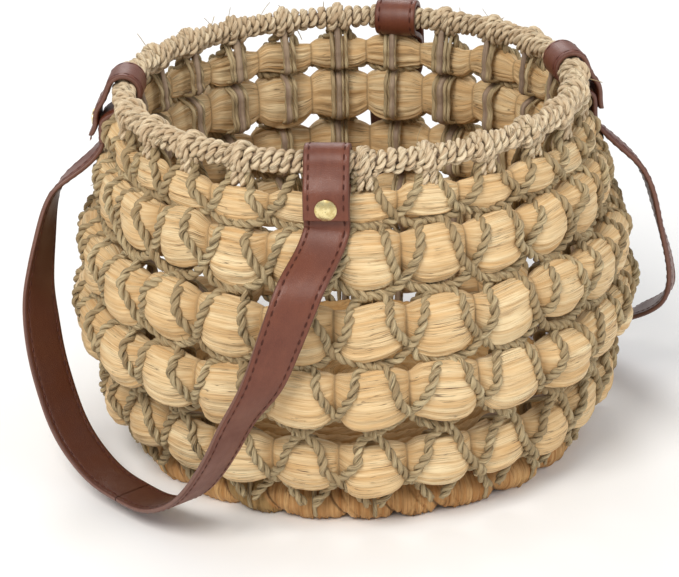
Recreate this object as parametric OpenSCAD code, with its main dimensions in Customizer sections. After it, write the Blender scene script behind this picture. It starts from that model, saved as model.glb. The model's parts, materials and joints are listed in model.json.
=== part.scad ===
// Egg collection basket: a round belly-shaped basket woven from water hyacinth
// rows, netted with two-ply seagrass cord, with two riveted leather carrying straps.
// Millimetres, +Z up. Origin at the middle of the foot ring, on the ground.
// The front strap hangs on the -Y side.

/* [Rim] */
// radius of the middle of the rim
rim_r = 104; // [90:1:120]
// height of the middle of the rim above the ground
rim_z = 172; // [140:1:200]
// half thickness of the wrapped rim
rim_half = 5.2; // [4:0.1:7]
// half thickness of the stick hoop inside the rim
hoop_half = 2.6; // [2:0.1:3.5]

/* [Weave] */
// number of upright stakes round the wall
stakes = 24; // [16:2:30]
// turn of the first stake from the front strap's middle, degrees
stake_turn = 7.5; // [0:0.5:15]
// half thickness of a stake stick
stick_half = 1.9; // [1.5:0.1:2.5]
// half thickness of the netting cord
cord_half = 2.1; // [1.5:0.1:2.6]
// radial thickness of the woven rows
row_depth = 19; // [14:1:24]
// outer radius of row 1, under the rim
row_1_r = 113; // [100:1:120]
// middle height of row 1
row_1_z = 152.5; // [140:0.1:165]
// height of row 1
row_1_h = 15.5; // [12:0.5:20]
// outer radius of row 2
row_2_r = 121; // [110:1:130]
// middle height of row 2
row_2_z = 130.6; // [120:0.1:140]
// outer radius of row 3
row_3_r = 130; // [118:1:140]
// middle height of row 3
row_3_z = 100; // [90:0.5:110]
// outer radius of row 4, the belly
row_4_r = 133.5; // [120:0.5:145]
// middle height of row 4
row_4_z = 69.5; // [60:0.5:80]
// height of rows 2, 3 and 4
row_h = 27; // [22:0.5:30]
// outer radius of row 5
row_5_r = 123; // [110:1:135]
// middle height of row 5
row_5_z = 33; // [28:0.5:40]
// height of row 5
row_5_h = 24; // [18:0.5:28]
// height of a row where the cords pull it in, as a share of its full height
pinch = 0.56; // [0.4:0.02:0.8]

/* [Foot and base] */
// middle radius of the foot ring
foot_r = 98.5; // [88:0.5:108]
// half thickness of the foot ring
foot_half = 8.6; // [6:0.1:10]
// half thickness of the base coils
coil_half = 4; // [3:0.25:5]
// number of coils in the base
coils = 13; // [8:1:16]
// height of the middle of the base coils
base_z = 21.5; // [18:0.5:26]

/* [Straps] */
// width of the leather strap
strap_w = 20; // [16:0.5:26]
// thickness of the leather
strap_t = 2.5; // [1.5:0.1:3.5]
// turn of each end of the front strap from the front strap's middle
front_half = 44; // [30:0.5:60]
// turn of each end of the back strap from the back strap's middle
back_half = 32; // [25:0.5:60]
// turn of the back strap's middle from the front strap's middle
back_turn = 184; // [170:1:190]
// lowest point of the strap's middle line
strap_low = 9; // [4:0.5:30]
// reach of the strap's lowest point out from the basket's middle
strap_reach = 136; // [130:1:160]
// half width of the hanging strap where it is widest
front_wide = 88; // [60:1:110]
// half width of the hanging back strap where it is widest
back_wide = 90; // [60:1:120]
// distance of the stitch line from the strap's edge
stitch_in = 2.3; // [1.5:0.1:4]
// width of the stitching thread
thread_w = 0.8; // [0.5:0.1:1.2]

/* [Rivets] */
// half width of the rivet's brass cap
cap_half = 4.8; // [3:0.1:6]
// distance of the rivet below the middle of the rim
rivet_drop = 15.9; // [13:0.1:18]

/* [Hidden] */
$fn = 48;
step = 360 / stakes;
gap = 0.05;
loop_in = rim_half + 1.1;
loop_out = loop_in + strap_t;
// the strap's two layers outside the basket: the riveted main layer, then the tail
main_in = row_1_r - rim_r + 0.95;
tail_in = main_in + strap_t + gap;
tail_drop = 21;
main_drop = 22;
strap_top = main_drop + 4;
rivet_hole = 1.6;
rivet_post = 1.5;
cap_t = 1.8;
burr_t = 0.7;
burr_half = 2.2;
cords_clear = 9.5;
lashings_clear = 6.8;
links = 3;
dyed = [0.48, 0.26, 0.20];
straw = [0.86, 0.69, 0.46];
grass = [0.70, 0.63, 0.48];
brass = [0.84, 0.76, 0.52];

// directions: turn 0 points to -Y, turn 90 to +X
function out(a) = [sin(a), -cos(a), 0];
function unit(v) = v / norm(v);

// shape of the hanging straps: share of the half width, share of the reach, height over the lowest point,
// and last how far down the leather has turned edge-on
front_shape = [[1.00, 0.792, 114.5], [0.935, 0.900, 78.5], [0.80, 0.967, 54], [0.603, 0.996, 24.5], [0.328, 1, 4.8], 3.6];
back_shape = [[0.928, 0.807, 112.1], [1.00, 0.876, 73], [0.965, 0.928, 44.4], [0.67, 0.96, 22.8], [0.332, 0.99, 6.1], 6];
// middle line of a strap from its top end (t = 0) to its lowest point (t = 6)
function strap_pts(half, wide, shape) = [
    [sin(half) * (rim_r + main_in + strap_t / 2), -cos(half) * (rim_r + main_in + strap_t / 2), rim_z - strap_top],
    for (i = [0 : 4]) [wide * shape[i][0], -strap_reach * shape[i][1], strap_low + shape[i][2]],
    [0, -strap_reach, strap_low]];
function flip(v) = [-v[0], v[1], v[2]];
function ctrl(p, i) = i < 0 ? p[0] + [-0.02, 0.06, 1] * norm(p[1] - p[0]) : (i > 6 ? flip(p[12 - i]) : p[i]);
function mixed(a, b, c, d, u) = 0.5 * ((2 * b) + (c - a) * u + (2 * a - 5 * b + 4 * c - d) * u * u
    + (3 * b - a - 3 * c + d) * u * u * u);
function whole(t) = t >= 6 ? 5 : floor(t);
function strap_at(p, t) = mixed(ctrl(p, whole(t) - 1), ctrl(p, whole(t)), ctrl(p, whole(t) + 1),
    ctrl(p, whole(t) + 2), t - whole(t));
// width direction: along the rim at the top, out from the basket at the bottom
function ease(u) = u <= 0 ? 0 : (u >= 1 ? 1 : u * u * (3 - 2 * u));
function lean(half, t, turned) = (90 - half) * (1 - ease(t / turned));
function strap_wide(half, t, turned) = [-sin(lean(half, t, turned)), -cos(lean(half, t, turned)), 0];

// a bar from a to b, w across, d deep, pushed o across and n out from the middle line
module bar(a, b, wdir, w, d, o, n) {
    along = unit(b - a);
    across = unit(wdir - (wdir * along) * along);
    out_dir = cross(along, across);
    translate((a + b) / 2 + across * o + out_dir * n)
        rotate([atan2(out_dir[2], along[2]), asin(-across[2]), atan2(across[1], across[0])])
            cube([w, d, norm(b - a) + 0.5], center = true);
}

module half_ribbon(half, wide, shape, w, d, o, n, first) {
    p = strap_pts(half, wide, shape);
    for (i = [first : 6 * links - 1]) {
        bar(strap_at(p, i / links), strap_at(p, (i + 1) / links), strap_wide(half, (i + 0.5) / links, shape[5]),
            w, d, o, n);
    }
}

module ribbon(half, wide, shape, w, d, o, n, first) {
    half_ribbon(half, wide, shape, w, d, o, n, first);
    mirror([1, 0, 0])
        half_ribbon(half, wide, shape, w, d, o, n, first);
}

module strap(half, wide, shape) {
    color(dyed)
        ribbon(half, wide, shape, strap_w, strap_t, 0, 0, 0);
}

module thread(half, wide, shape) {
    edge = strap_w / 2 - stitch_in;
    lift = strap_t / 2 + gap + 0.2;
    color([0.25, 0.13, 0.10]) {
        ribbon(half, wide, shape, thread_w, 0.4, edge, -lift, 1);
        ribbon(half, wide, shape, thread_w, 0.4, -edge, -lift, 1);
    }
}

// move a shape drawn about the rim's middle at turn 0 out to the strap end at turn a
module at_rim(a) {
    rotate([0, 0, a])
        translate([0, -rim_r, rim_z])
            rotate([90, 0, -90])
                children();
}

// points along an arc of radius r from angle a to angle b
function arc(r, a, b) = [for (i = [0 : 24]) [r * cos(a + (b - a) * i / 24), r * sin(a + (b - a) * i / 24)]];

// leather loop drawn as a side view: across = out from the basket, up = up
module loop_side() {
    main_out = main_in + strap_t;
    tail_out = tail_in + strap_t;
    polygon(concat(
        [[main_out, -main_drop], [main_out, -12]],
        arc(loop_in, -116, -368),
        [[tail_in, -10.6], [tail_in, -tail_drop], [tail_out, -tail_drop], [tail_out, -9.8]],
        arc(loop_out, -358, -116),
        [[main_in, -13.5], [main_in, -main_drop]]));
}

module loop(a) {
    color(dyed)
        difference() {
            at_rim(a)
                linear_extrude(strap_w, center = true)
                    loop_side();
            rivet_line(a)
                cylinder(r = rivet_hole, h = 30, center = true);
        }
}

// frame whose Z runs out from the basket through the rivet at turn a
module rivet_line(a) {
    rotate([0, 0, a])
        translate([0, -rim_r, rim_z - rivet_drop])
            rotate([90, 0, 0])
                children();
}

module rivet(a) {
    head = tail_in + strap_t + gap;
    color(brass)
        rivet_line(a) {
            translate([0, 0, head])
                intersection() {
                    cylinder(r = cap_half, h = cap_t);
                    translate([0, 0, cap_t - 11])
                        sphere(r = 11, $fn = 96);
                }
            translate([0, 0, main_in - 0.4])
                cylinder(r = rivet_post, h = head - main_in + 0.8);
        }
}

module burr(a) {
    color(brass)
        rivet_line(a)
            translate([0, 0, main_in - gap - burr_t])
                difference() {
                    cylinder(r = burr_half, h = burr_t);
                    translate([0, 0, -1])
                        cylinder(r = rivet_hole, h = burr_t + 2);
                }
}

// turns of the four strap ends
ends = [front_half, -front_half, back_turn - back_half, back_turn + back_half];
function apart(a, b) = abs((a - b + 540) % 360 - 180);
function free(a, clear) = min([for (e = ends) apart(a + 720, e)]) > clear;

// one plump bundle of hyacinth between two pinches, drawn along X
// its back is cut flat, and over is how far each end goes past the pinch
module bundle(half_h, half_len, depth, over) {
    rise = half_h * (1 - pinch);
    bow = (half_len * half_len + rise * rise) / (2 * rise);
    intersection() {
        rotate([0, 90, 0])
            rotate_extrude($fn = 64)
                intersection() {
                    translate([half_h - bow, 0])
                        circle(bow, $fn = 200);
                    translate([0, -half_len - over])
                        square([half_h + 1, 2 * half_len + 2 * over]);
                }
        translate([-30, -30, -30])
            cube([60, 30 + depth - half_h, 60]);
    }
}

module weft_row(r, z, h, over) {
    mid = r - h / 2;
    color(straw)
        for (k = [0 : stakes - 1]) {
            rotate([0, 0, stake_turn + k * step])
                translate([0, -mid, z])
                    bundle(h / 2, mid * tan(step / 2), min(row_depth, 0.86 * h), over);
        }
}

// crossing cords over each pinch of a row, from stake to stake
module net_row(r, z, h, reach, skip) {
    half_w = r * sin(step / 2) - 3.2;
    tilt = atan2(h / 2 + 0.4, half_w);
    long = 2 * norm([half_w, h / 2 + 0.4]);
    color(grass)
        for (k = [0 : stakes - 1]) {
            turn = stake_turn + (k + 0.5) * step;
            if (!skip || free(turn, cords_clear)) {
                rotate([0, 0, turn])
                    translate([0, -reach, z]) {
                        rotate([0, 90 - tilt, 0])
                            cylinder(r = cord_half, h = long, center = true, $fn = 24);
                        rotate([0, tilt - 90, 0])
                            cylinder(r = cord_half, h = long, center = true, $fn = 24);
                    }
            }
        }
}

// one stake: bars through the points behind the rows
module stick_bar(a, b, half) {
    run = b[0] - a[0];
    up = b[1] - a[1];
    long = norm([run, up]);
    translate([0, -(a[0] + b[0]) / 2, (a[1] + b[1]) / 2])
        rotate([atan2(run, up), 0, 0])
            cylinder(r = half, h = long + 0.8, center = true, $fn = 24);
}

module stick() {
    back = row_depth + stick_half + 0.35;
    r1 = row_1_r - row_1_h - stick_half - 0.4;
    r2 = row_2_r - back;
    r3 = row_3_r - back;
    r4 = row_4_r - back;
    r5 = row_5_r - back;
    foot_top = 2 * foot_half;
    path = [[r5, foot_top + 1], [r5, row_5_z + 9], [r4, row_4_z - 11.5], [r4, row_4_z + 9.5],
        [r3, row_3_z - 12], [r3, row_3_z + 10], [r2, row_2_z - 14], [r2, row_2_z + 8],
        [r1, row_1_z - 6.5], [r1, row_1_z + 9.2]];
    for (i = [0 : 8]) {
        stick_bar(path[i], path[i + 1], stick_half - 0.15 * (i % 2));
    }
}

module stake_sticks() {
    color([0.45, 0.38, 0.30])
        for (k = [0 : stakes - 1]) {
            rotate([0, 0, stake_turn + k * step])
                stick();
        }
}

module base_coils() {
    color(straw)
        rotate_extrude($fn = 128)
            intersection() {
                union() {
                    for (k = [0 : coils - 1]) {
                        translate([k * coil_half * 1.9, base_z])
                            circle(coil_half, $fn = 32);
                    }
                }
                square([rim_r, base_z + coil_half + 1]);
            }
}

module foot_ring() {
    color([0.72, 0.50, 0.28])
        rotate_extrude($fn = 128)
            intersection() {
                translate([foot_r, foot_half - 0.6])
                    circle(foot_half);
                translate([foot_r - foot_half - 1, 0])
                    square([2 * foot_half + 2, 2 * foot_half]);
            }
}

module foot_lashings() {
    color(grass)
        for (k = [0 : stakes - 1]) {
            rotate([0, 0, stake_turn + k * step])
                translate([0, -foot_r - foot_half - 2.1, 2])
                    cylinder(r = 1.9, h = 2 * foot_half, $fn = 24);
        }
}

module rim_hoop() {
    color([0.45, 0.38, 0.30])
        translate([0, 0, rim_z])
            rotate_extrude($fn = 128)
                translate([rim_r, 0])
                    circle(hoop_half);
}

module rim_wrap() {
    color(grass)
        translate([0, 0, rim_z])
            rotate_extrude($fn = 128)
                translate([rim_r, 0])
                    difference() {
                        circle(rim_half);
                        circle(hoop_half + gap);
                    }
}

module rim_lashings() {
    lash = 1.4;
    color(grass)
        for (k = [0 : stakes - 1]) {
            turn = stake_turn + k * step;
            if (free(turn, lashings_clear)) {
                rotate([0, 0, turn])
                    translate([0, -rim_r, rim_z])
                        rotate([0, 90, 0])
                            rotate_extrude($fn = 48)
                                translate([rim_half + lash + 0.25, 0])
                                    circle(lash, $fn = 24);
            }
        }
}

base_coils();
foot_ring();
foot_lashings();
weft_row(row_1_r, row_1_z, row_1_h, -0.2);  // weft_row_1
weft_row(row_2_r, row_2_z, row_h, 0.4);  // weft_row_2
weft_row(row_3_r, row_3_z, row_h, 0.4);  // weft_row_3
weft_row(row_4_r, row_4_z, row_h, 0.4);  // weft_row_4
weft_row(row_5_r, row_5_z, row_5_h, 0.4);  // weft_row_5
stake_sticks();
net_row(row_1_r, row_1_z, row_1_h, row_1_r + 0.5, true);  // net_row_1
net_row(row_2_r, row_2_z, row_h, row_2_r - 1.2, true);  // net_row_2
net_row(row_3_r, row_3_z, row_h, row_3_r - 1.2, false);  // net_row_3
net_row(row_4_r, row_4_z, row_h, row_4_r - 1.2, false);  // net_row_4
net_row(row_5_r, row_5_z, row_5_h, row_5_r - 0.7, false);  // net_row_5
rim_hoop();
rim_wrap();
rim_lashings();
strap(front_half, front_wide, front_shape);  // front_strap
thread(front_half, front_wide, front_shape);  // front_strap_thread
loop(-front_half);  // front_left_loop
rivet(-front_half);  // front_left_rivet
burr(-front_half);  // front_left_burr
loop(front_half);  // front_right_loop
rivet(front_half);  // front_right_rivet
burr(front_half);  // front_right_burr
rotate([0, 0, back_turn]) strap(back_half, back_wide, back_shape);  // back_strap
rotate([0, 0, back_turn]) thread(back_half, back_wide, back_shape);  // back_strap_thread
loop(back_turn - back_half);  // back_left_loop
rivet(back_turn - back_half);  // back_left_rivet
burr(back_turn - back_half);  // back_left_burr
loop(back_turn + back_half);  // back_right_loop
rivet(back_turn + back_half);  // back_right_rivet
burr(back_turn + back_half);  // back_right_burr
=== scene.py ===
# %% [markdown]
# # Egg collection basket
# A round basket with a belly, woven from plump rows of dried water hyacinth. Twenty-four stakes
# stand behind the rows, and two-ply seagrass cords are netted over them in crossing diagonals.
# The rim is a hoop wrapped in seagrass, the foot is a ring of folded hyacinth, and two stitched
# leather straps are looped under the rim and riveted.
#
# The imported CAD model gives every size, place and joint. Here each soft piece is made again at
# the same size and place, with real geometry for what the eye can see: fibres, twists, stitches.

# %% Load the frame
import json
import math

import bpy
import numpy as np
from mathutils import Matrix, Vector


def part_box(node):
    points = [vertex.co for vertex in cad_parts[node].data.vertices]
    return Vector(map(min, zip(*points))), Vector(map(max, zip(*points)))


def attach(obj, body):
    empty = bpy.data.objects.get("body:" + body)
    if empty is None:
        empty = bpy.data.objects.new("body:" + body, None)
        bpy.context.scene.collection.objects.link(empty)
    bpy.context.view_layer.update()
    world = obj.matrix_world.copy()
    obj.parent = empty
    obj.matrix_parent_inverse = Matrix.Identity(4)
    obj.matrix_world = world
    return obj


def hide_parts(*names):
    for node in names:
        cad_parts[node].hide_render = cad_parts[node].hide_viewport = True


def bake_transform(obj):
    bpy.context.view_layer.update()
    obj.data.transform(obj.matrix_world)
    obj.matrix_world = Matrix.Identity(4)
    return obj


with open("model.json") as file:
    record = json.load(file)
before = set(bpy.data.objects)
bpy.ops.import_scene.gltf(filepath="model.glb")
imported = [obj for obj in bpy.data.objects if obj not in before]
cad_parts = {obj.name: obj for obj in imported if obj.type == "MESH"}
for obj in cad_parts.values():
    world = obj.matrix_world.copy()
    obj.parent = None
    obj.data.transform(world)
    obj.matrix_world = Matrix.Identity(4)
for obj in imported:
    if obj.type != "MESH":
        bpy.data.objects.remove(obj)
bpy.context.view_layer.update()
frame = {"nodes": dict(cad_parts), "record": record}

rng = np.random.default_rng(24)

# %% [markdown]
# ## Sizes read from the frame
# All the numbers below are millimetres; meshes are scaled to metres when they are built. A
# stake's turn is counted from the front strap's middle, which hangs on the -Y side.

# %% Sizes of rows, rim and foot
STAKES = 24
STEP = 360 / STAKES
FIRST = 7.5


def mm_box(node):
    low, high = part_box(node)
    return np.array(low) * 1000, np.array(high) * 1000


rows = []
for k in range(1, 6):
    low, high = mm_box(f"weft_row_{k}")
    rows.append({"r": (high[0] - 0.34) / 0.9914, "z": (low[2] + high[2]) / 2, "h": high[2] - low[2]})
low, high = mm_box("rim_wrap")
rim_half = (high[2] - low[2]) / 2
rim_r, rim_z = high[0] - rim_half, (high[2] + low[2]) / 2
low, high = mm_box("foot_ring")
foot_high = high[2]
foot_r = high[0] - 8.6
print("rim radius", round(rim_r, 1), "height", round(rim_z, 1), "foot radius", round(foot_r, 1))
for row in rows:
    print("row", {key: round(float(v), 1) for key, v in row.items()})

# %% Strap ends from the joints
ends = {}
for joint in frame["record"]["behaviour"]["joints"]:
    if joint["name"].endswith("_twist"):
        x, y, _ = joint["pos_m"]
        ends[joint["name"][:-6]] = math.degrees(math.atan2(x, -y)) % 360
print("strap ends at", {key: round(v, 1) for key, v in ends.items()})

# %% [markdown]
# ## Mesh helpers
# Every woven thing here is a swept skin, so one small kit serves all: a grid of quads, a store
# that joins many skins into one mesh, and a maker of twisted cord. Each vertex also carries
# where it lies along and around its fibre, so that the material can draw streaks that follow
# the fibre however it bends.

# %% Mesh kit
MM = 0.001


def quads(n, m, wrap=False):
    i, j = np.meshgrid(np.arange(n - 1), np.arange(m if wrap else m - 1), indexing="ij")
    k = (j + 1) % m
    return np.stack([i * m + j, (i + 1) * m + j, (i + 1) * m + k, i * m + k], -1).reshape(-1, 4)


class Store:
    """Collects skins, then makes one mesh of them."""

    def __init__(self):
        self.v, self.f, self.fibre, self.tone, self.n = [], [], [], [], 0

    def add(self, v, f, fibre, tone):
        v = v.reshape(-1, 3)
        self.v.append(v)
        self.f.append(f + self.n)
        self.fibre.append(np.broadcast_to(fibre, v.shape) if fibre.ndim == 1 else fibre.reshape(-1, 3))
        tone = np.asarray(tone, float)
        self.tone.append(np.full(len(v), tone) if tone.ndim == 0 else tone.reshape(-1))
        self.n += len(v)

    def build(self, name, material):
        v, f = np.concatenate(self.v) * MM, np.concatenate(self.f)
        mesh = bpy.data.meshes.new(name)
        mesh.from_pydata(v.tolist(), [], f.tolist())
        a = mesh.attributes.new("fibre", "FLOAT_VECTOR", "POINT")
        a.data.foreach_set("vector", np.concatenate(self.fibre).astype(np.float32).ravel())
        a = mesh.attributes.new("tone", "FLOAT", "POINT")
        a.data.foreach_set("value", np.concatenate(self.tone).astype(np.float32))
        mesh.materials.append(material)
        mesh.shade_smooth()
        obj = bpy.data.objects.new(name, mesh)
        bpy.context.scene.collection.objects.link(obj)
        print(name, len(v), "points")
        return obj


def out_dir(turn):
    """Direction out from the basket's middle at a turn in degrees."""
    t = np.radians(turn)
    return np.stack([np.sin(t), -np.cos(t), np.zeros_like(t)], -1)


def side_dir(turn):
    """Direction along the rim at a turn."""
    t = np.radians(turn)
    return np.stack([np.cos(t), np.sin(t), np.zeros_like(t)], -1)


def unit(v):
    return v / np.maximum(np.linalg.norm(v, axis=-1, keepdims=True), 1e-9)


def through(points, per=10):
    """A smooth line through the given points (Catmull-Rom)."""
    p = np.asarray(points, float)
    p = np.vstack([2 * p[0] - p[1], p, 2 * p[-1] - p[-2]])
    u = np.linspace(0, 1, per, endpoint=False)[:, None]
    spans = []
    for i in range(len(p) - 3):
        a, b, c, d = p[i:i + 4]
        spans.append(0.5 * (2 * b + (c - a) * u + (2 * a - 5 * b + 4 * c - d) * u ** 2
                            + (3 * b - a - 3 * c + d) * u ** 3))
    return np.vstack(spans + [p[-2][None]])


def even(p, step, *more):
    """Points spread evenly along a line, with any companion arrays."""
    d = np.r_[0, np.cumsum(np.linalg.norm(np.diff(p, axis=0), axis=1))]
    s = np.linspace(0, d[-1], max(5, int(d[-1] / step) + 1))
    pick = [np.stack([np.interp(s, d, a[:, i]) for i in range(a.shape[1])], -1) for a in (p,) + more]
    return s, pick


def soften(a, width):
    """Running average that keeps the ends."""
    w = np.exp(-0.5 * (np.arange(-3 * width, 3 * width + 1) / width) ** 2)
    padded = np.pad(a, 3 * width, mode="edge")
    return np.convolve(padded, w / w.sum(), "valid")


def add_strand(store, p, away, half, tone, flat=1.0, sides=8, spin=0.0, taper=True):
    """One strand: a tube along p, half thick, flattened by flat in the away direction."""
    s, (p, away) = even(p, 0.9, away)
    t = unit(np.gradient(p, axis=0))
    n = unit(away - (away * t).sum(1, keepdims=True) * t)
    b = np.cross(t, n)
    uneven = 0.07 * np.sin(s * 0.55 + rng.uniform(0, 6))
    grow = half * (1 + uneven + 0.05 * np.sin(s * 1.7 + rng.uniform(0, 6)))
    if taper:
        grow = grow * np.clip(np.minimum(s, s[-1] - s) / (1.2 * half) + 0.15, 0, 1)
    q = np.linspace(0, 2 * np.pi, sides + 1)
    around = np.cos(q)[None, :, None] * n[:, None] * flat + np.sin(q)[None, :, None] * b[:, None]
    v = p[:, None] + grow[:, None, None] * around
    seed = rng.uniform(0, 400)
    fibre = np.stack(np.broadcast_arrays(s[:, None], q[None] * half + spin * s[:, None], seed), -1)
    store.add(v, quads(len(s), sides + 1), fibre, tone)


def add_cord(store, p, away, half, tone, pitch=9.5, lay=1, plies=2, sides=8):
    """A twisted cord: plies laid round each other along p."""
    s, (p, away) = even(p, 0.9, away)
    t = unit(np.gradient(p, axis=0))
    n = unit(away - (away * t).sum(1, keepdims=True) * t)
    b = np.cross(t, n)
    start = rng.uniform(0, 6.28)
    slip = 0.5 * np.sin(s / 21 + rng.uniform(0, 6))
    for k in range(plies):
        ply = half * rng.uniform(0.9, 1.1)
        ang = lay * 2 * np.pi * s / pitch + 2 * np.pi * k / plies + start + slip
        ring = np.cos(ang)[:, None] * n + np.sin(ang)[:, None] * b
        shade = tone + rng.uniform(-0.16, 0.16)
        add_strand(store, p + ring * half * 0.9, ring, ply, shade, 0.9, sides, spin=0.25)

# %% [markdown]
# ## Material building blocks
# Two small node groups are shared by everything that is plant fibre. "Fibre streaks" reads the
# fibre attribute and gives fine lines, wider bands and a height for the bump. "Handled wear"
# gives the slow mottling that handling, dust and sun leave. Leather, thread and brass share the
# wear group, so the whole basket ages the same way.

# %% Node helpers
def linear(code):
    c = [int(code[i:i + 2], 16) / 255 for i in (1, 3, 5)]
    return [x / 12.92 if x <= 0.04045 else ((x + 0.055) / 1.055) ** 2.4 for x in c] + [1.0]


def link(tree, a, b):
    tree.links.new(a, b)


def add(tree, kind, **values):
    node = tree.nodes.new(kind)
    for key, value in values.items():
        setattr(node, key, value)
    return node


def maths(tree, op, a, b=None, clamp=False):
    node = add(tree, "ShaderNodeMath", operation=op, use_clamp=clamp)
    for i, x in enumerate((a, b)):
        if x is None:
            continue
        if isinstance(x, (int, float)):
            node.inputs[i].default_value = x
        else:
            link(tree, x, node.inputs[i])
    return node.outputs[0]


def spread(tree, value, lo, hi, a=0.0, b=1.0):
    node = add(tree, "ShaderNodeMapRange")
    link(tree, value, node.inputs[0])
    for i, x in zip((1, 2, 3, 4), (lo, hi, a, b)):
        node.inputs[i].default_value = x
    return node.outputs[0]


def mix(tree, fac, a, b, blend="MIX"):
    node = add(tree, "ShaderNodeMix", data_type="RGBA", blend_type=blend)
    for sock, x in ((node.inputs[0], fac), (node.inputs[6], a), (node.inputs[7], b)):
        if isinstance(x, (int, float, list, tuple)):
            sock.default_value = x
        else:
            link(tree, x, sock)
    return node.outputs[2]


def noise(tree, vector, scale, detail=4.0, rough=0.55):
    node = add(tree, "ShaderNodeTexNoise")
    node.inputs["Scale"].default_value = scale
    node.inputs["Detail"].default_value = detail
    node.inputs["Roughness"].default_value = rough
    link(tree, vector, node.inputs["Vector"])
    return node.outputs[0]


def stretched(tree, vector, along, around, seed=1.0):
    node = add(tree, "ShaderNodeMapping")
    node.inputs["Scale"].default_value = (along, around, seed)
    link(tree, vector, node.inputs["Vector"])
    return node.outputs[0]


def attribute(tree, name, which="Vector"):
    node = add(tree, "ShaderNodeAttribute", attribute_name=name)
    return node.outputs[which]


def new_group(name, ins, outs):
    g = bpy.data.node_groups.new(name, "ShaderNodeTree")
    for label, kind, value in ins:
        s = g.interface.new_socket(name=label, in_out="INPUT", socket_type=kind)
        s.default_value = value
    for label, kind in outs:
        g.interface.new_socket(name=label, in_out="OUTPUT", socket_type=kind)
    return g, add(g, "NodeGroupInput"), add(g, "NodeGroupOutput")


def use(tree, group, **values):
    node = add(tree, "ShaderNodeGroup")
    node.node_tree = group
    for key, value in values.items():
        sock = node.inputs[key.replace("_", " ")]
        if isinstance(value, (int, float, list, tuple)):
            sock.default_value = value
        else:
            link(tree, value, sock)
    return node

# %% Fibre streaks group
F, V = "NodeSocketFloat", "NodeSocketVector"
streaks, gi, go = new_group("Fibre streaks", [("Fine", F, 1.0), ("Bands", F, 1.0), ("Cracks", F, 0.5)],
                            [("Streak", F), ("Band", F), ("Crack", F), ("Height", F)])
fib = attribute(streaks, "fibre")
fine = noise(streaks, stretched(streaks, fib, 0.045, 2.1), 1.0, 5.0, 0.6)
hair = noise(streaks, stretched(streaks, fib, 0.10, 5.2), 1.0, 3.0, 0.5)
band = noise(streaks, stretched(streaks, fib, 0.02, 0.42), 1.0, 3.0, 0.55)
crack = noise(streaks, stretched(streaks, fib, 0.035, 1.05, 2.0), 1.0, 2.0, 0.4)
both = maths(streaks, "ADD", maths(streaks, "MULTIPLY", fine, 0.62), maths(streaks, "MULTIPLY", hair, 0.38))
streak = spread(streaks, both, 0.36, 0.64)
link(streaks, maths(streaks, "MULTIPLY", streak, gi.outputs["Fine"]), go.inputs["Streak"])
wide_band = spread(streaks, band, 0.35, 0.68)
link(streaks, maths(streaks, "MULTIPLY", wide_band, gi.outputs["Bands"]), go.inputs["Band"])
thin = maths(streaks, "ABSOLUTE", maths(streaks, "SUBTRACT", crack, 0.5))
line = spread(streaks, thin, 0.0, 0.022, 1.0, 0.0)
gate = spread(streaks, noise(streaks, stretched(streaks, fib, 0.07, 0.12, 3.0), 1.0, 1.0), 0.47, 0.56)
line = maths(streaks, "MULTIPLY", maths(streaks, "MULTIPLY", line, gate), gi.outputs["Cracks"])
link(streaks, line, go.inputs["Crack"])
link(streaks, maths(streaks, "SUBTRACT", streak, maths(streaks, "MULTIPLY", line, 1.4)), go.inputs["Height"])

# %% Handled wear group
wear, gi, go = new_group("Handled wear", [("Vector", V, (0, 0, 0)), ("Size", F, 40.0), ("Amount", F, 0.3)],
                         [("Mask", F), ("Roughness shift", F)])
scaled = add(wear, "ShaderNodeVectorMath", operation="SCALE")
link(wear, gi.outputs["Vector"], scaled.inputs[0])
link(wear, gi.outputs["Size"], scaled.inputs["Scale"])
blot = noise(wear, scaled.outputs[0], 1.0, 5.0, 0.6)
mask = maths(wear, "MULTIPLY", spread(wear, blot, 0.42, 0.68), gi.outputs["Amount"])
link(wear, mask, go.inputs["Mask"])
link(wear, maths(wear, "MULTIPLY", mask, 0.35), go.inputs["Roughness shift"])


def new_material(name, **fixed):
    m = bpy.data.materials.new(name)
    m.use_nodes = True
    t = m.node_tree
    p = t.nodes["Principled BSDF"]
    for key, value in fixed.items():
        p.inputs[key.replace("_", " ")].default_value = value
    return m, t, p


def bump(tree, principled, height, strength, distance):
    node = add(tree, "ShaderNodeBump")
    node.inputs["Strength"].default_value = strength
    node.inputs["Distance"].default_value = distance
    link(tree, height, node.inputs["Height"])
    link(tree, node.outputs[0], principled.inputs["Normal"])


def objects_place(tree):
    return add(tree, "ShaderNodeTexCoord").outputs["Object"]
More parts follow.
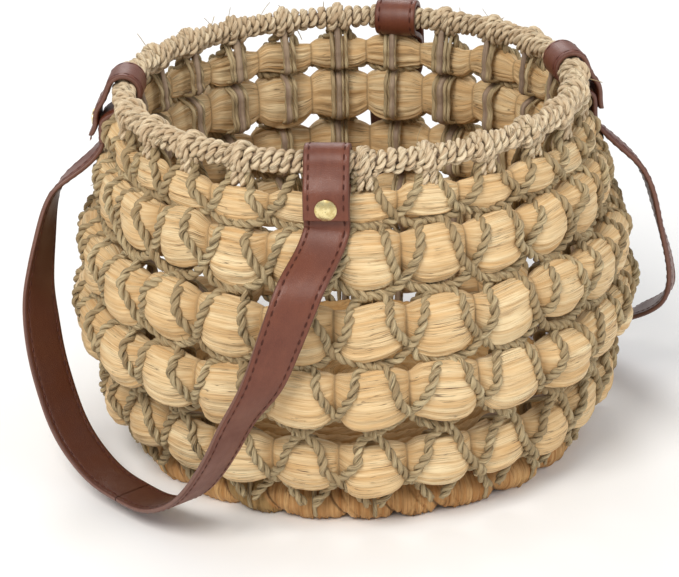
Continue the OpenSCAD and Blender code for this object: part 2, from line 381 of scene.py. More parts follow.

# %% [markdown]
# ## Plant materials
# Dried hyacinth is pale straw with darker fibre lines, and where it folds under the cords it gets a
# warmer, darker painted shade. Seagrass is greyer and greener with near-black cracks between its
# fibres. The folded foot is the outer, browner leaf, with a few green-grey wraps. `tone` picks a tone
# for each bundle or ply, and runs from 0 (pale) to 1 (dark); above 1 it marks painted shade in the folds.

# %% Plant fibre materials
def plant(name, pale, mid, dark, crack_and_fold_shade, fine, crack, depth, rough=0.62, bands=1.0):
    m, t, p = new_material(name, Specular_IOR_Level=0.32)
    s = use(t, streaks, Fine=1.0, Bands=bands, Cracks=crack)
    w = use(t, wear, Vector=objects_place(t), Size=38.0, Amount=0.45)
    tone = attribute(t, "tone", "Fac")
    base = mix(t, s.outputs["Band"], linear(pale), linear(mid))
    base = mix(t, maths(t, "MULTIPLY", spread(t, s.outputs["Streak"], 0.55, 0.0), fine), base, linear(dark))
    # tone from 0.35 to 1 darkens towards mid: random per bundle, and painted shade where the pinches push
    # tone near 1
    base = mix(t, maths(t, "MULTIPLY", spread(t, tone, 0.35, 1.0), 0.55), base, linear(mid))
    base = mix(t, maths(t, "MULTIPLY", s.outputs["Crack"], 0.85), base, linear(crack_and_fold_shade))
    base = mix(t, w.outputs["Mask"], base, linear(mid))
    # painted shade: tone above 1, in the folds and pinches, darkens the colour towards the dark fold colour
    base = mix(t, spread(t, tone, 1.0, 2.0), base, linear(crack_and_fold_shade))
    link(t, base, p.inputs["Base Color"])
    link(t, maths(t, "ADD", w.outputs["Roughness shift"], rough), p.inputs["Roughness"])
    bump(t, p, s.outputs["Height"], 0.55, depth)
    return m


hyacinth = plant("hyacinth rows", "#F1DCB0", "#D6AE78", "#96683A", "#4A2A14", 0.70, 1.0, 0.00055)
base_straw = plant("hyacinth base", "#DDBE8C", "#C4965A", "#8F6233", "#4A2C14", 0.55, 0.8, 0.00035)
seagrass = plant("seagrass cord", "#CDBB93", "#9C8460", "#665037", "#261B10", 0.85, 1.0, 0.00045, 0.66)
rim_seagrass = plant("rim seagrass", "#E8D7B6", "#C2A785", "#8A6F50", "#3A2A1A", 0.75, 1.0, 0.00040, 0.66)
stake_bark = plant("stake sticks", "#B09A80", "#857060", "#5C4B3C", "#33271C", 0.45, 0.5, 0.00012, 0.5)

# %% Foot material with green-grey wraps
def foot_leaf():
    m, t, p = new_material("hyacinth foot", Specular_IOR_Level=0.35)
    s = use(t, streaks, Fine=1.0, Bands=1.0, Cracks=0.9)
    w = use(t, wear, Vector=objects_place(t), Size=30.0, Amount=0.5)
    tone = attribute(t, "tone", "Fac")
    base = mix(t, s.outputs["Band"], linear("#E0B67C"), linear("#B98348"))
    lines = maths(t, "MULTIPLY", spread(t, s.outputs["Streak"], 0.55, 0.0), 0.6)
    base = mix(t, lines, base, linear("#8A5424"))
    base = mix(t, spread(t, tone, -0.1, -1.0), base, linear("#8C8250"))
    base = mix(t, maths(t, "MULTIPLY", s.outputs["Crack"], 0.85), base, linear("#4A2A10"))
    base = mix(t, w.outputs["Mask"], base, linear("#8E5A2A"))
    # painted shade: tone above 1, in the grooves between lobes, darkens towards #3A2210
    base = mix(t, spread(t, tone, 1.0, 2.0), base, linear("#3A2210"))
    link(t, base, p.inputs["Base Color"])
    link(t, maths(t, "ADD", w.outputs["Roughness shift"], 0.5), p.inputs["Roughness"])
    bump(t, p, s.outputs["Height"], 0.6, 0.0004)
    return m


foot_hyacinth = foot_leaf()

# %% [markdown]
# ## Leather, thread and brass
# The straps are dyed reddish brown with a fine grain. The face against the basket gets painted shade
# that fades towards the loop, and the cut edges show the pale undyed middle. `fibre` holds the place
# along and across the strap, and `tone` says which face a point is on: 0 outer, 1 inner, 2 edge.

# %% Leather material
def strap_leather():
    m, t, p = new_material("strap leather", Specular_IOR_Level=0.42, Coat_Weight=0.08, Coat_Roughness=0.35)
    place = attribute(t, "fibre")
    tone = attribute(t, "tone", "Fac")
    w = use(t, wear, Vector=place, Size=0.06, Amount=0.55)
    cells = add(t, "ShaderNodeTexVoronoi", feature="DISTANCE_TO_EDGE")
    cells.inputs["Scale"].default_value = 1.35
    link(t, place, cells.inputs["Vector"])
    grain = spread(t, cells.outputs["Distance"], 0.0, 0.28)
    pull = noise(t, stretched(t, place, 0.05, 0.22), 1.0, 4.0)
    base = mix(t, w.outputs["Mask"], linear("#6B3824"), linear("#532416"))
    base = mix(t, spread(t, pull, 0.5, 0.8, 0.0, 0.55), base, linear("#7A452E"))
    # painted shade on the inner face: tone from 0.2 to 1 darkens it towards #42200F
    base = mix(t, maths(t, "MULTIPLY", spread(t, tone, 0.2, 1.0), 0.72), base, linear("#42200F"))
    base = mix(t, spread(t, tone, 1.35, 1.9), base, linear("#A57B6C"))
    base = mix(t, spread(t, grain, 0.5, 0.0, 0.0, 0.22), base, linear("#30150C"))
    link(t, base, p.inputs["Base Color"])
    link(t, maths(t, "ADD", w.outputs["Roughness shift"], 0.40), p.inputs["Roughness"])
    bump(t, p, maths(t, "ADD", grain, maths(t, "MULTIPLY", pull, 0.6)), 0.28, 0.00018)
    return m


leather = strap_leather()

# %% Thread and brass materials
def waxed_thread():
    m, t, p = new_material("stitching thread", Specular_IOR_Level=0.3)
    place = attribute(t, "fibre")
    ply = add(t, "ShaderNodeTexWave", wave_type="BANDS", bands_direction="DIAGONAL")
    ply.inputs["Scale"].default_value = 1.6
    link(t, place, ply.inputs["Vector"])
    w = use(t, wear, Vector=place, Size=0.3, Amount=0.6)
    base = mix(t, ply.outputs["Fac"], linear("#2E140E"), linear("#512519"))
    base = mix(t, w.outputs["Mask"], base, linear("#6A3A2A"))
    link(t, base, p.inputs["Base Color"])
    link(t, maths(t, "ADD", w.outputs["Roughness shift"], 0.6), p.inputs["Roughness"])
    bump(t, p, ply.outputs["Fac"], 0.5, 0.0001)
    return m


def rivet_brass():
    m, t, p = new_material("rivet brass", Metallic=1.0)
    place = objects_place(t)
    w = use(t, wear, Vector=place, Size=350.0, Amount=0.8)
    scratch = noise(t, stretched(t, place, 500.0, 3000.0, 900.0), 1.0, 3.0)
    base = mix(t, w.outputs["Mask"], linear("#E6D6A0"), linear("#B89C5C"))
    base = mix(t, spread(t, scratch, 0.6, 0.75, 0.0, 0.35), base, linear("#8A7240"))
    link(t, base, p.inputs["Base Color"])
    link(t, maths(t, "ADD", maths(t, "MULTIPLY", w.outputs["Mask"], 0.3), 0.24), p.inputs["Roughness"])
    bump(t, p, scratch, 0.12, 0.00005)
    return m


thread = waxed_thread()
brass = rivet_brass()
print("finishes:", [m.name for m in bpy.data.materials])

# %% [markdown]
# ## The woven rows
# Each row is one long bundle of flattened hyacinth. It swells to a plump face over every stake
# and is drawn in between stakes, where the cords cross. The fibres run along the row, so they
# fan out over each swelling. A row is swept as one skin: the section is a rounded oblong whose
# height and depth change with the turn, and folds and leaf edges are pressed into it.

# %% Shape of a row
nudge = rng.normal(size=(5, 6, STAKES))


def cell(turn):
    """Which bundle a turn lies on, and how far from its middle, from -0.5 to 0.5."""
    x = (np.asarray(turn, float) - FIRST) / STEP
    j = np.floor(x + 0.5)
    return (j % STAKES).astype(int), x - j


def own(values, j, x):
    """A bundle's own value over most of its length, easing to the shared one at the pinch."""
    near = values[(j + np.where(x > 0, 1, -1)) % STAKES]
    w = np.clip((1 - np.abs(2 * x)) * 2.6, 0, 1)
    w = 0.5 + 0.5 * w * w * (3 - 2 * w)
    return values[j] * w + near * (1 - w)


def row_shape(k, turn):
    """Section of row k at a turn: middle radius, half depth, middle height, half height, fullness."""
    row = rows[k]
    size = row["h"] / 27
    j, x = cell(turn)
    full = 1 - np.abs(2 * x) ** 3.0
    tall = 1 - np.abs(2 * x) ** 2.3
    h = row["h"] / 2 * (0.68 + 0.32 * tall) * (1 + own(0.045 * nudge[k, 0], j, x))
    outer = row["r"] - 0.6 + own(0.9 * nudge[k, 1], j, x) - 7.4 * size * (1 - full)
    inner = row["r"] - 17.0 * size + 2.0 * size * (1 - full) + own(0.5 * nudge[k, 2], j, x)
    z = row["z"] + own(0.8 * nudge[k, 3], j, x) + 2.4 * own(nudge[k, 4], j, x) * x * full
    z = z + 0.03 * row["h"] * (1 - tall)
    return (outer + inner) / 2, (outer - inner) / 2, z, h, full


def row_outside(k, turn, z):
    """Radius of the outside of row k at a height, and how far inside the row that height is."""
    mid, deep, zc, h, _ = row_shape(k, turn)
    u = np.clip(np.abs(z - zc) / h, 0, 1)
    return mid + deep * (1 - u ** 2.5) ** 0.4, 1 - np.abs(z - zc) / h

# %% Weave the five rows
def pressed_folds(q, x, count, size):
    """Folds and leaf edges of one bundle, as a height over (along, around)."""
    d = np.zeros((len(x), len(q)))
    for _ in range(count):
        q0, drift = rng.uniform(-2.6, 2.6), rng.uniform(-0.25, 0.25)
        a, b = sorted(rng.uniform(-0.6, 0.6, 2))
        if b - a < 0.25:
            a, b = a - 0.2, b + 0.2
        reach = np.clip((x - a) / 0.08, 0, 1) * np.clip((b - x) / 0.08, 0, 1)
        off = np.angle(np.exp(1j * (q[None] - q0 - drift * x[:, None])))
        if rng.random() < 0.5:
            d -= size * rng.uniform(0.5, 1.1) * reach[:, None] * np.exp(-(off / 0.045) ** 2)
        else:
            step = np.tanh(off / 0.03) * np.exp(-(off / 0.4) ** 2)
            d += size * rng.uniform(0.3, 0.6) * reach[:, None] * step
    return d


def weave_row(k, per=34, sides=120):
    store = Store()
    row = rows[k]
    turn = np.linspace(0, 360, STAKES * per + 1)
    q = np.linspace(-np.pi, np.pi, sides + 1)
    mid, deep, zc, h, full = row_shape(k, turn)
    j, x = cell(turn)
    c = np.sign(np.cos(q)) * np.abs(np.cos(q)) ** 0.8
    s = np.sign(np.sin(q)) * np.abs(np.sin(q)) ** 0.8
    n = np.stack([c[None] / deep[:, None], s[None] / h[:, None]], -1)
    n = unit(n)
    relief = np.zeros((len(turn), sides + 1))
    tone = np.zeros((len(turn), sides + 1))
    shade = rng.uniform(0, 0.75, STAKES)
    for b in range(STAKES):
        at = np.where(j == b)[0]
        ridge = rng.normal(size=sides + 1)
        ridge[-1] = ridge[0]
        ridge = np.convolve(np.pad(ridge, 2, mode="wrap"), [0.1, 0.25, 0.3, 0.25, 0.1], "valid")
        wide = np.convolve(np.pad(rng.normal(size=sides + 1), 8, mode="wrap"), np.ones(17) / 17, "valid")
        fade = np.clip((1 - np.abs(2 * x[at])) * 4, 0.25, 1)[:, None]
        relief[at] = (0.42 * ridge + 1.3 * wide)[None] * fade
        relief[at] += pressed_folds(q, x[at], 9, 0.75) * fade
        tone[at] = shade[b]
    # painted shade: towards the pinch, where the cords cross and the bundle draws in, tone goes to 0.9 and
    # then above 1
    blend = np.clip((1 - np.abs(2 * x)) * 3, 0, 1)[:, None]
    tone = tone * blend + 0.9 * (1 - blend) + np.clip(0.5 - 2.2 * np.abs(full)[:, None], 0, 1)
    rr = mid[:, None] + deep[:, None] * c[None] + n[..., 0] * relief
    zz = zc[:, None] + h[:, None] * s[None] + n[..., 1] * relief
    v = out_dir(turn)[:, None] * rr[..., None]
    v[..., 2] = zz
    along = np.radians(turn)[:, None] * row["r"] + 0 * q[None]
    around = q[None] * 12.5 * row["h"] / 27 + 0 * turn[:, None]
    seed = (j * 7.3 + k * 41.0)[:, None] + 0 * q[None]
    store.add(v, quads(len(turn), sides + 1), np.stack([along, around, seed], -1), tone.ravel())
    obj = store.build(f"hyacinth_row_{k + 1}", hyacinth)
    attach(obj, "basket")
    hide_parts(f"weft_row_{k + 1}")
    return obj


for k in range(5):
    weave_row(k)

# %% [markdown]
# ## The netting cords
# Forty-eight two-ply cords run from the rim to the foot, half leaning each way. A cord starts at
# a stake, slips out round the shoulder of a bundle, crosses its partner low in the pinch and
# dives back in at the next stake along. Twenty-four in each direction close the net.

# %% Lay the netting
def gap_radius(k, turn):
    """Radius of the gap under row k - 1, where cords pass behind the stake's strands."""
    above = rows[k - 1]["r"] if k > 0 else rim_r + 9
    below = rows[k]["r"] if k < 5 else foot_r + 14
    return (above + below) / 2 - (9.5 if 0 < k < 5 else 8.0)


def gap_height(k):
    if k == 0:
        return rim_z - 6.5
    if k == 5:
        return (rows[4]["z"] - rows[4]["h"] / 2 + foot_high) / 2 + 0.5
    return (rows[k - 1]["z"] - rows[k - 1]["h"] / 2 + rows[k]["z"] + rows[k]["h"] / 2) / 2


def near_end(turn, reach):
    return min(abs((turn - e + 180) % 360 - 180) for e in ends.values()) < reach


# how a cord crosses a row: mm past the pinch, and share of the row's half height
CORD_WAY = ((-9.8, 0.98), (-7.8, 0.5), (-4.6, 0.0), (0.2, -0.52), (5.6, -0.96))


def net_cord(store, j, lean):
    start = FIRST + j * STEP
    pts = [(start + lean * 1.0, rim_z - 3.5)]
    for k in range(5):
        row = rows[k]
        size = 0.85 if k == 0 else 1.0
        mid = start + lean * STEP * (k + 0.5)
        half = row["h"] / 2
        jit = rng.normal(size=(5, 2)) * [0.7, 0.7]
        for (across, up), (ja, jz) in zip(CORD_WAY, jit):
            shift = math.degrees((across * size + ja) / row["r"])
            pts.append((mid + lean * shift, row["z"] + up * half + jz))
        if k < 4:
            pts.append((start + lean * STEP * (k + 1), gap_height(k + 1)))
    pts.append((start + lean * (STEP * 5 - 4), gap_height(5) - 1))
    pts.append((start + lean * (STEP * 5 - 1), foot_high - 6))
    line = through(pts, 14)
    turn, z = line[:, 0], line[:, 1]
    k = np.array([int(np.argmin([abs(zz - r["z"]) / r["h"] for r in rows])) for zz in z])
    radius = np.zeros(len(z))
    floor_r = np.zeros(len(z))
    for i in range(5):
        at = k == i
        face, inside = row_outside(i, turn[at], z[at])
        hold = np.where(z[at] > rows[i]["z"], gap_radius(i, 0), gap_radius(i + 1, 0))
        g = np.clip(inside / 0.16, 0, 1)
        radius[at] = hold * (1 - g) + np.maximum(face, hold) * g + 1.1
        floor_r[at] = np.where(inside > 0.1, face + 0.9, 0)
        low = rows[i]["z"] - 0.26 * rows[i]["h"]
        mid = start + lean * STEP * (i + 0.5)
        close = np.exp(-((z[at] - low) / 4.5) ** 2 - ((turn[at] - mid) * 1.9 / 4.5) ** 2)
        over = 1.5 if (j + i) % 3 else -0.2
        if near_end(mid, 9) and i < 2:
            over = -0.3
        radius[at] += close * (over if lean > 0 else 1.3 - over)
    radius = soften(radius, 5)
    radius = np.maximum(radius, floor_r)
    radius = soften(radius, 2)
    radius[:6] = np.linspace(rim_r + 2.5, radius[6], 6)
    for name, at in ends.items():
        off = np.abs((turn - at + 180) % 360 - 180)
        behind = np.clip((8.5 - off) / 2.5, 0, 1) * np.clip((z - 134) / 6, 0, 1)
        radius = radius * (1 - behind) + np.minimum(radius, rim_r + 7.6) * behind
    p = out_dir(turn) * radius[:, None]
    p[:, 2] = z
    add_cord(store, p, out_dir(turn) + [0, 0, 0.02], 1.3, rng.uniform(0.0, 0.9), pitch=rng.uniform(8.6, 10.4))


for lean, name in ((1, "right"), (-1, "left")):
    store = Store()
    for j in range(STAKES):
        net_cord(store, j, lean)
    obj = store.build(f"net_cords_{name}_lay", seagrass)
    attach(obj, "basket")
    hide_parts(*[f"net_row_{k}" for k in range(1, 6)])

# %% [markdown]
# ## The stakes
# Behind each column of bundles stands a stake: a smooth stick in the middle of three or four
# loose seagrass strands. They show in the gaps between the rows, where the strands come forward
# over the crossing cords, and on the inside of the wall.

# %% Raise the stakes
sticks, strands = Store(), Store()
for j in range(STAKES):
    turn = FIRST + j * STEP
    out, side = out_dir(turn), side_dir(turn)

    def up_the_wall(forward, behind, across, top, foot):
        pts = [(rim_r + top, rim_z - 3.0)]
        for k in range(5):
            size = rows[k]["h"] / 27
            if k > 0:
                pts.append((gap_radius(k, 0) + forward, gap_height(k)))
            back = rows[k]["r"] - 17.0 * size - behind - 2.2
            for share in (0.34, 0.0, -0.34):
                pts.append((back, rows[k]["z"] + share * rows[k]["h"]))
        pts += foot
        line = through(pts, 8)
        p = out * line[:, :1] + side * (across + 0.35 * np.sin(line[:, 1:] / 17 + j))
        p[:, 2] = line[:, 1]
        return p

    inner_foot = [(rows[4]["r"] - 19.5, foot_high + 1.2)]
    p = up_the_wall(0.4, 2.3, rng.uniform(-0.8, 0.8), -3, inner_foot)
    bold = j % 4 == 1
    thick = 1.75 if bold else 1.45
    add_strand(sticks, p, np.broadcast_to(out, p.shape), thick, rng.uniform(0, 0.7), 0.75, 10)
    for across in ((-3.6, -2.0, 2.3, 4.0) if bold else (-3.2, -1.2, 1.1, 3.1)):
        if rng.random() < 0.12:
            continue
        tip = inner_foot
        if abs(across) < 3 and rng.random() < 0.55:
            tip = [(rows[4]["r"] - 16, 22.5), (foot_r + 7.0, foot_high + 1.0),
                   (foot_r + 9.4, 9.0), (foot_r + 7.6, 2.4)]
        p = up_the_wall(rng.uniform(2.0, 3.2), 1.8, across + rng.uniform(-0.4, 0.4), rng.uniform(0, 3), tip)
        add_strand(strands, p, np.broadcast_to(out, p.shape), rng.uniform(0.85, 1.15),
                   rng.uniform(0, 0.7), 0.8, 8, spin=0.3)
obj = sticks.build("stake_sticks_bark", stake_bark)
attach(obj, "basket")
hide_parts("stake_sticks")
obj = strands.build("stake_strands", seagrass)
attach(obj, "basket")
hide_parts("foot_lashings")

# %% [markdown]
# ## The rim
# The hoop is wound tightly with two-ply cord, so the rim reads as a row of slanting twists. At
# each stake a second cord is lashed over the winding and its tail is drawn down into the net.

# %% Wind the rim
def ring_place(turn, ang, radius, tall=1.0):
    """A point round the rim's section: ang 0 is outside, 90 on top."""
    o = out_dir(turn)
    p = o * (rim_r + radius * np.cos(ang))[:, None]
    p[:, 2] = rim_z + tall * radius * np.sin(ang)
    away = o * np.cos(ang)[:, None]
    away[:, 2] = np.sin(ang)
    return p, away


store = Store()
winds = 148
t = np.linspace(0, 1, winds * 26)
wobble = sum(rng.uniform(0.2, 0.5) * np.sin(2 * np.pi * (f * t) + rng.uniform(0, 6))
             for f in (17, 31, 53, 83))
turn = 360 * t + 0.30 * np.sin(2 * np.pi * winds * t + 0.8) * 1.4
ang = 2 * np.pi * winds * t + 0.25 * wobble
bumps = sum(np.sin(2 * np.pi * f * t + rng.uniform(0, 6)) for f in (29, 47, 71))
radius = rim_half - 1.35 + 0.32 * bumps / 1.7
p, away = ring_place(turn, ang, radius, 0.92)
add_cord(store, p, away, 1.2, 0.3, pitch=8.3)
obj = store.build("rim_winding", rim_seagrass)
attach(obj, "basket")
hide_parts("rim_wrap")

# %% Lash the rim at the stakes
store = Store()
for j in range(STAKES):
    turn0 = FIRST + j * STEP
    if near_end(turn0, 6.9):
        continue
    for shift in (-1.6, 1.5):
        t = np.linspace(0, 1, 70)
        turns = rng.uniform(0.95, 1.25)
        ang = -0.9 + 2 * np.pi * turns * t + rng.uniform(-0.2, 0.2)
        turn = turn0 + math.degrees(shift / rim_r) + (t - 0.5) * 3.4 * (1 if shift > 0 else -1)
        p, away = ring_place(turn, ang, np.full(70, rim_half + 0.55), 0.95)
        drop = unit(out_dir(turn0) * 0.1 + np.array([0, 0, -1.0]))
        aside = side_dir(turn0) * (-0.35 * shift) * np.linspace(1, 0, 8)[:, None]
        tail = p[:1] + drop * np.linspace(7.5, 0.8, 8)[:, None] + aside
        p = np.vstack([tail, p])
        away = np.vstack([np.repeat(out_dir(turn0)[None], 8, 0), away])
        add_cord(store, p, away, 1.12, rng.uniform(0.0, 0.6), pitch=8.6)
obj = store.build("rim_stake_lashings", rim_seagrass)
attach(obj, "basket")
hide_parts("rim_lashings")

# %% [markdown]
# ## Hoop, base and foot
# The hoop is one thick cane that the winding hides. The base can't be seen when the basket is
# full, so it is taken to be a flat coil of hyacinth rope, made here as rings.
# The foot is a ring of leaves folded over and over: each fold is a lobe with
# a steep edge, its fibres run round the ring's section, and a few leaves are still green-grey.

# %% Hoop cane and base coils
store = Store()
turn = np.linspace(0, 360, 500)
p, away = ring_place(turn, np.full(500, math.pi / 2), 0.0)
add_strand(store, p, away, 2.5, 0.4, sides=12, taper=False)
obj = store.build("rim_hoop_cane", stake_bark)
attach(obj, "basket")
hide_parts("rim_hoop")

store = Store()
low, high = mm_box("base_coils")
coil_half = (high[2] - low[2]) / 2
outer = (high[0] - low[0]) / 2 - coil_half
for i in range(13):
    r = outer - 7.6 * i
    turn = np.linspace(0, 360, 220) + rng.uniform(0, 360)
    around = np.radians(turn)
    beat = 0.25 * np.sin(around * 5 + rng.uniform(0, 6)) + 0.15 * np.sin(around * 9 + rng.uniform(0, 6))
    p = out_dir(turn) * (r + beat * min(1, r / 20))[:, None]
    p[:, 2] = (low[2] + high[2]) / 2 + 0.3 * beat
    add_strand(store, p, np.broadcast_to([0, 0, 1.0], p.shape), coil_half, rng.uniform(0, 1),
               0.95, 20, spin=0.35, taper=False)
obj = store.build("base_hyacinth_coils", base_straw)
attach(obj, "basket")
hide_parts("base_coils")

# %% Fold the foot ring
store = Store()
sides, steps = 90, 1300
turn = np.linspace(0, 360, steps + 1)
q = np.linspace(-np.pi, np.pi, sides + 1)
edges = np.cumsum(rng.uniform(0.7, 1.3, 24))
edges = np.r_[0, edges / edges[-1]] * 360
lobe_tone = rng.uniform(0.0, 0.8, 24)
lobe_tone[rng.choice(24, 4, replace=False)] = -0.55
place = (turn[:, None] + 5.0 * np.sin(q[None] * 0.5 + 0.9) ** 2) % 360
lobe = np.clip(np.searchsorted(edges, place, "right") - 1, 0, 23)
f = (place - edges[lobe]) / (edges[lobe + 1] - edges[lobe])
swell = 1 - np.abs(2 * f - 1) ** 2.6
ridge = np.interp(turn * 3.1, np.arange(1200), rng.normal(size=1200))
leaf = np.stack([np.interp(turn * 4.2 + 3.0 * k, np.arange(1600), rng.normal(size=1600)) for k in range(3)])
slip = leaf[0][:, None] * np.cos(q)[None] + leaf[1][:, None] * np.sin(q)[None] + leaf[2][:, None] * 0.6
leaf_edge = 0.7 * np.exp(-((f - 0.84) / 0.06) ** 2)
radius = 5.9 + 3.0 * swell + (0.2 * ridge[:, None] + 0.36 * slip) * (0.3 + 0.7 * swell) + leaf_edge
for _ in range(46):
    turn0, wide0, tilt = rng.uniform(0, 360), rng.uniform(0.35, 0.9), rng.uniform(-3, 3)
    off = (turn[:, None] - turn0 - tilt * np.sin(q[None]) + 180) % 360 - 180
    radius -= rng.uniform(0.5, 1.1) * np.exp(-(off / (0.35 * wide0)) ** 2)
radius[-1] = radius[0]
# painted shade in the groove where one folded lobe meets the next
lobe_edge_shade = np.exp(-(np.minimum(f, 1 - f) / 0.05) ** 2)
tone = lobe_tone[lobe] * (1 - lobe_edge_shade) + 1.7 * lobe_edge_shade
c, s = np.cos(q)[None] * radius, np.sin(q)[None] * radius
v = out_dir(turn)[:, None] * (foot_r + c)[..., None]
v[..., 2] = np.maximum(foot_high - 8.6 + s, 0.0)
along = q[None] * 8.6 + 0.25 * turn[:, None]
across = np.radians(turn)[:, None] * foot_r + 0 * q[None]
store.add(v, quads(steps + 1, sides + 1), np.stack([along, across, lobe * 5.0], -1), tone.ravel())
obj = store.build("foot_hyacinth_ring", foot_hyacinth)
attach(obj, "basket")
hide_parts("foot_ring")

# %% Loose fibre ends
store = Store()
for _ in range(90):
    turn0 = rng.uniform(0, 360)
    if near_end(turn0, 9):
        continue
    if rng.random() < 0.55:
        ang = rng.uniform(-1.2, 2.4)
        p0, away0 = ring_place(np.array([turn0]), np.array([ang]), rim_half - 0.6)
        p0, away0 = p0[0], away0[0]
    else:
        k = rng.integers(1, 5)
        z0 = gap_height(k) + rng.uniform(-2, 2)
        p0 = out_dir(turn0) * (gap_radius(k, 0) + 4.0)
        p0[2] = z0
        away0 = out_dir(turn0)
    way = unit(away0 * rng.uniform(0.3, 0.8) + side_dir(turn0) * rng.normal() * 1.2
               + np.array([0, 0, rng.normal() * 0.7]))
    long = rng.uniform(4, 11)
    bend = rng.normal(size=3) * 0.25
    t = np.linspace(0, 1, 9)[:, None]
    p = p0 + way * t * long + bend * long * t ** 2
    add_strand(store, p, np.broadcast_to(away0, p.shape), rng.uniform(0.13, 0.24),
               rng.uniform(0, 0.6), 0.8, 5)
obj = store.build("loose_fibre_ends", seagrass)
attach(obj, "basket")

# %% [markdown]
# ## Leather straps
# A strap is one thick strip with a line of stitching sunk near each edge. It hangs in a loop
# from two places on the rim: each end goes under the rim, round it, and is riveted to itself.
# Each half is one skin, from the strap's low middle round the rim to its tail.

# %% Strap shape
strap_t = 2.5
FRONT = [(80.0, -82.9, 146), (88, -107.7, 123.5), (82.3, -122.4, 87.5), (70.4, -131.5, 63),
         (53.1, -135.5, 33.5), (28.9, -136, 13.8), (0, -136, 9)]
BACK = [(61.0, -97.7, 146), (83.5, -109.8, 121.1), (90, -119.1, 82), (86.9, -126.2, 53.4),
        (60.3, -130.6, 31.8), (29.9, -134.6, 15.1), (0, -136, 9)]
half_u = np.array([1.2, 3.5, 5.5, 6.9, 7.3, 7.7, 8.1, 8.5, 9.1, 9.6])
face_u = np.r_[-half_u[::-1], half_u]


def face_d(u, deep):
    crown = 0.10 * (1 - (u / 10) ** 2) - 0.35 * np.abs(u / 10) ** 14
    return strap_t / 2 + crown - deep * np.exp(-((np.abs(u) - 7.7) / 0.35) ** 2)


section_u = np.r_[face_u, [9.95, 10.05, 9.95], face_u[::-1], [-9.95, -10.05, -9.95, -9.6]]
section_d = np.r_[face_d(face_u, 0.42), [0.75, 0.0, -0.75],
                  -face_d(face_u[::-1], 0.3), [-0.75, 0.0, 0.75, face_d(-9.6, 0.42)]]
section_face = np.r_[np.zeros(20), [1.5] * 3, np.ones(20), [1.5] * 3, [0]]


def strap_line(shape, half, turned):
    """Middle line of one half, from the low middle to the tail, and the width direction."""
    pts = np.array(shape, float)
    after = pts[0] + np.array([-0.02, 0.06, 1.0]) * np.linalg.norm(pts[1] - pts[0])
    ctrl = np.vstack([pts[5] * [-1, 1, 1], pts[::-1], after])
    u = np.linspace(0, 1, 24, endpoint=False)
    line, t = [], []
    for i in range(6):
        a, b, c, d = ctrl[i:i + 4]
        w = u[:, None]
        line.append(0.5 * (2 * b + (c - a) * w + (2 * a - 5 * b + 4 * c - d) * w ** 2
                           + (3 * b - a - 3 * c + d) * w ** 3))
        t.append(6 - i - u)
    line, t = np.vstack(line), np.concatenate(t) / turned
    e = np.clip(t, 0, 1)
    lean = np.radians((90 - half) * (1 - e * e * (3 - 2 * e)))
    wide = np.stack([-np.sin(lean), -np.cos(lean), 0 * lean], -1)
    arc = np.radians(np.linspace(-116, -352, 26))
    side = [(11.2, -26), (11.2, -22), (11.2, -17.5), (10.2, -13.6), (4.6, -10.2)]
    side += [(7.55 * math.cos(a), 7.55 * math.sin(a)) for a in arc]
    side += [(9.9, -4.2), (12.7, -8.4), (13.75, -12.5), (13.75, -17), (13.75, -21)]
    side = through(side, 6)
    loop = out_dir(half) * (rim_r + side[:, :1])
    loop[:, 2] = rim_z + side[:, 1]
    wide = np.vstack([wide, np.broadcast_to(-side_dir(half), loop.shape)])
    _, (p, wide) = even(np.vstack([line, loop]), 0.8, wide)
    p = np.stack([soften(p[:, i], 1) for i in range(3)], -1)
    return p, wide

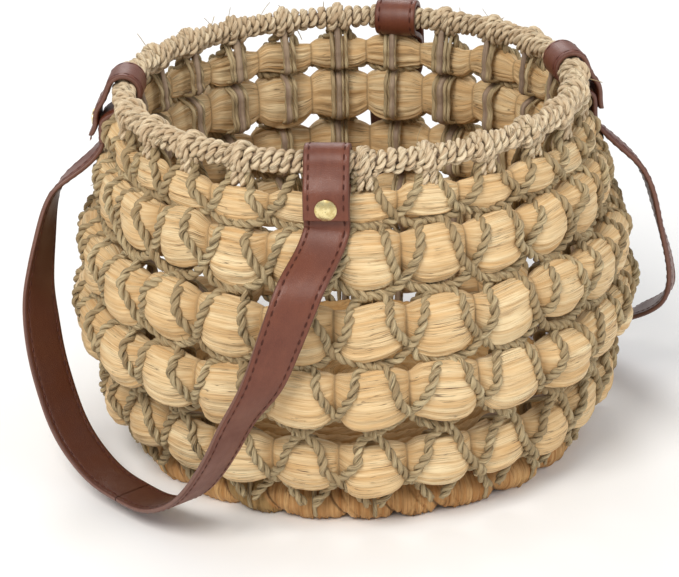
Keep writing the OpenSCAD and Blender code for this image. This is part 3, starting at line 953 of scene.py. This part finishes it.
# %% Cut and stitch each half
def strap_half(handle, shape, half, turned, spin, sign):
    p, wide = strap_line(shape, half, turned)
    t = unit(np.gradient(p, axis=0))
    wide = unit(wide - (wide * t).sum(1, keepdims=True) * t)
    face = np.cross(t, wide)
    s = np.r_[0, np.cumsum(np.linalg.norm(np.diff(p, axis=0), axis=1))]
    total = s[-1]

    c, k = math.cos(math.radians(spin)), math.sin(math.radians(spin))
    turned_by = np.array([[c, -k, 0], [k, c, 0], [0, 0, 1]])

    def placed(v):
        return (v * [sign, 1, 1]) @ turned_by.T

    turn = (spin + sign * half) % 360
    end = min(ends, key=lambda e: abs((ends[e] - turn + 180) % 360 - 180))
    free = np.clip((total - 60 - s) / 40, 0, 1) * np.clip(s / 20, 0, 1)
    sway = (0.35 * np.sin(s / 13 + 1.3 * sign) + 0.25 * np.sin(s / 6.1)) * free
    base = p + face * sway[:, None]
    tail_flare = np.clip((s - (total - 7)) / 7, 0, 1) ** 2 * (2.4 if end == "front_left" else 0.7)
    base = base - face * tail_flare[:, None]

    v = base[:, None] + section_u[None, :, None] * wide[:, None] + section_d[None, :, None] * face[:, None]
    cap = base[-1] + section_u[:, None] * wide[-1] * 0.99
    v = np.vstack([v, cap[None]])
    # painted shade on the inner face: full where the strap hangs, fading to 0.12 near the loop and tail
    inner = np.clip((total - 62 - s) / 20, 0.12, 1)
    tone = np.where(section_face[None] == 1, inner[:, None], section_face[None] + 0 * s[:, None])
    tone = np.vstack([tone, np.full((1, tone.shape[1]), 2.0)])
    along = np.r_[s, total + 1][:, None]
    fibre = np.stack(np.broadcast_arrays(along, section_u[None], section_face[None] * 50.0 + spin), -1)
    store = Store()
    f = quads(len(s) + 1, len(section_u))
    store.add(placed(v), f if sign > 0 else f[:, ::-1], fibre, tone)
    if end == "front_left":
        for u in np.linspace(-8.5, 8.5, 7):
            a = base[-1] + wide[-1] * u
            q = np.linspace(0, 1, 8)[:, None]
            down = unit(t[-1] + wide[-1] * rng.normal() * 0.35 - face[-1] * rng.uniform(0, 0.5))
            line = a - t[-1] * 0.6 + down * q * rng.uniform(2.5, 5.5)
            away = placed(np.broadcast_to(face[-1], line.shape))
            add_strand(store, placed(line), away, rng.uniform(0.35, 0.7), rng.choice([0.3, 1.7]), 0.5, 6)
    piece = store.build(f"{end}_strap_leather", leather)

    seam = Store()
    for side in (-7.7, 7.7):
        for top in (1, -1):
            for s0 in np.arange(2.2, total - 3, 4.3):
                q = np.linspace(s0, s0 + 3.0, 7)
                mid = np.stack([np.interp(q, s, base[:, i]) for i in range(3)], -1)
                w = np.stack([np.interp(q, s, wide[:, i]) for i in range(3)], -1)
                fa = np.stack([np.interp(q, s, face[:, i]) for i in range(3)], -1) * top
                dip = 0.30 * np.linspace(-1, 1, 7) ** 4
                line = mid + w * side + fa * (strap_t / 2 - 0.10 - dip)[:, None]
                add_strand(seam, placed(line), placed(fa), 0.42, 0.3, 0.8, 6)
    stitched = seam.build(f"{end}_strap_stitching", thread)

    for obj, slot, kept in ((piece, "leather", "strap"), (stitched, "thread", "strap_thread")):
        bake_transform(obj)
        names = [f"{handle.split('_')[0]}_{kept}"] + ([f"{end}_loop"] if slot == "leather" else [])
        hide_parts(*names)


for sign in (1, -1):
    strap_half("front_handle", FRONT, 44, 3.6, 0, sign)
    strap_half("back_handle", BACK, 32, 6, 184, sign)

# %% Polish the rivets and burrs
for end in ends:
    for part in ("rivet", "burr"):
        node = frame["nodes"][f"{end}_{part}"]
        for slot in node.material_slots:
            slot.material = brass
print("rivets and burrs keep their packed shape")

# %% [markdown]
# ## Room, light and camera
# The basket stands on a pale plain floor under large soft lights, so the weave is read by its
# own shadows. The camera looks down at it from beyond the front strap's right end.

# %% Floor and light
def floor_paint():
    m, t, p = new_material("floor paint", Roughness=0.7)
    w = use(t, wear, Vector=objects_place(t), Size=3.0, Amount=0.3)
    link(t, mix(t, w.outputs["Mask"], linear("#F4F3F1"), linear("#EBEAE8")), p.inputs["Base Color"])
    return m


mesh = bpy.data.meshes.new("floor")
mesh.from_pydata([(-6, -6, 0), (6, -6, 0), (6, 6, 0), (-6, 6, 0)], [], [(0, 1, 2, 3)])
mesh.materials.append(floor_paint())
floor = bpy.data.objects.new("floor", mesh)
bpy.context.scene.collection.objects.link(floor)


def soft_light(name, place, size, power, tint):
    data = bpy.data.lights.new(name, "AREA")
    data.shape, data.size, data.energy, data.color = "DISK", size, power, tint
    lamp = bpy.data.objects.new(name, data)
    lamp.location = place
    lamp.rotation_euler = (Vector((0, 0, 0.08)) - Vector(place)).to_track_quat("-Z", "Y").to_euler()
    bpy.context.scene.collection.objects.link(lamp)
    return lamp


soft_light("key", (0.55, -1.15, 1.45), 0.9, 26, (1.0, 0.97, 0.93))
soft_light("fill", (1.5, 0.6, 0.9), 1.2, 9, (0.95, 0.97, 1.0))
soft_light("back", (-1.2, 0.7, 1.2), 1.0, 10, (1.0, 1.0, 1.0))
world = bpy.data.worlds.new("room")
world.use_nodes = True
world.node_tree.nodes["Background"].inputs[0].default_value = (0.95, 0.97, 1.0, 1)
world.node_tree.nodes["Background"].inputs[1].default_value = 0.55
bpy.context.scene.world = world
bpy.context.scene.view_settings.view_transform = "Standard"

# %% Camera
data = bpy.data.cameras.new("camera")
data.lens, data.sensor_fit, data.sensor_width = 156.47, "HORIZONTAL", 36
data.clip_start, data.clip_end = 0.05, 50
camera = bpy.data.objects.new("camera", data)
roll = -0.029889
flat = Vector((0.6428, 0.7660, 0.0))
rise = Vector((-0.2958, 0.2483, 0.9224))
right = (math.cos(roll) * flat + math.sin(roll) * rise).normalized()
top = (-math.sin(roll) * flat + math.cos(roll) * rise)
behind = right.cross(top).normalized()
top = behind.cross(right)
place = (0.9844, -0.8359, 0.6109)
axes = [[right[i], top[i], behind[i], place[i]] for i in range(3)]
camera.matrix_world = Matrix(axes + [[0, 0, 0, 1]])
bpy.context.scene.collection.objects.link(camera)
bpy.context.scene.camera = camera
